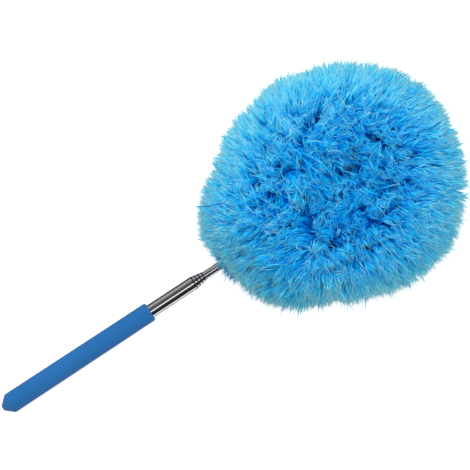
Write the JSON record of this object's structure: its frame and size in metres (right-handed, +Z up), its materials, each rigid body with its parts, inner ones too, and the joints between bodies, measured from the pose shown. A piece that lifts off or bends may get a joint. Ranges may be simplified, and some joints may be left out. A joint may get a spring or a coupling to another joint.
{
  "type": "telescopic duster",
  "caption": "Telescopic duster: closed conical soft grip, nested sliding steel tubes, and a bendable microfibre head bent round into a level loop.",
  "frame": {"origin": "on the floor, at the middle of the duster's length with the pole pushed in, on the pole's centre line", "axes": "+X along the pole from the grip to the head, +Z up, so the head's loop lies level"},
  "size_m": [0.5347, 0.2486, 0.1126],
  "materials": {
    "grip_blue": "smooth matte soft-touch sleeve",
    "chrome": "bright plated steel tube",
    "bronze": "plain turned or rolled bronze",
    "steel": "plain steel",
    "white_plastic": "plain moulded plastic",
    "blue_plastic": "glossy moulded plastic",
    "black_plastic": "plain moulded plastic",
    "fibre_blue": "dense fine microfibre pile on a woven backing"
  },
  "bodies": {
    "handle": {"grip_sleeve": "grip_blue", "outer_tube": "chrome", "butt_plug": "white_plastic"},
    "section_2": {"tube_2": "chrome", "tail_plug_2": "white_plastic", "friction_sleeve_2": "bronze"},
    "section_3": {"tube_3": "chrome", "tail_plug_3": "white_plastic", "friction_sleeve_3": "bronze"},
    "section_4": {"tube_4": "chrome", "tail_plug_4": "white_plastic", "friction_sleeve_4": "bronze"},
    "turning_sleeve": {"friction_sleeve_5": "bronze"},
    "section_5": {"tube_5": "chrome", "tail_plug_5": "white_plastic", "tip_plug": "steel", "ferrule_nut": "bronze", "head_ferrule": "blue_plastic"},
    "head": {"neck_ball": "black_plastic", "spine_wire": "steel", "spine_sleeve": "black_plastic", "tip_cap": "black_plastic", "fibre_cover_1": "fibre_blue", "fibre_cover_2": "fibre_blue", "fibre_cover_3": "fibre_blue", "fibre_cover_4": "fibre_blue", "fibre_cover_5": "fibre_blue", "fibre_cover_6": "fibre_blue", "fibre_cover_7": "fibre_blue", "fibre_cover_8": "fibre_blue", "fibre_cover_9": "fibre_blue"}
  },
  "joints": [
    {"name": "slide_2", "type": "slide", "parent": "handle", "child": "section_2", "axis": [1, 0, 0], "range_m": [0, 0.1915]},
    {"name": "slide_3", "type": "slide", "parent": "section_2", "child": "section_3", "axis": [1, 0, 0], "range_m": [0, 0.1813]},
    {"name": "slide_4", "type": "slide", "parent": "section_3", "child": "section_4", "axis": [1, 0, 0], "range_m": [0, 0.1711]},
    {"name": "slide_5", "type": "slide", "parent": "section_4", "child": "turning_sleeve", "axis": [1, 0, 0], "range_m": [0, 0.161]},
    {"name": "head_swivel", "type": "hinge", "parent": "turning_sleeve", "child": "section_5", "pos_m": [0, 0, 0.0106], "axis": [1, 0, 0], "continuous": true},
    {"name": "neck_bend", "type": "hinge", "parent": "section_5", "child": "head", "pos_m": [0.0125, 0, 0.0106], "axis": [0, 1, 0], "range_deg": [-60, 60]}
  ]
}
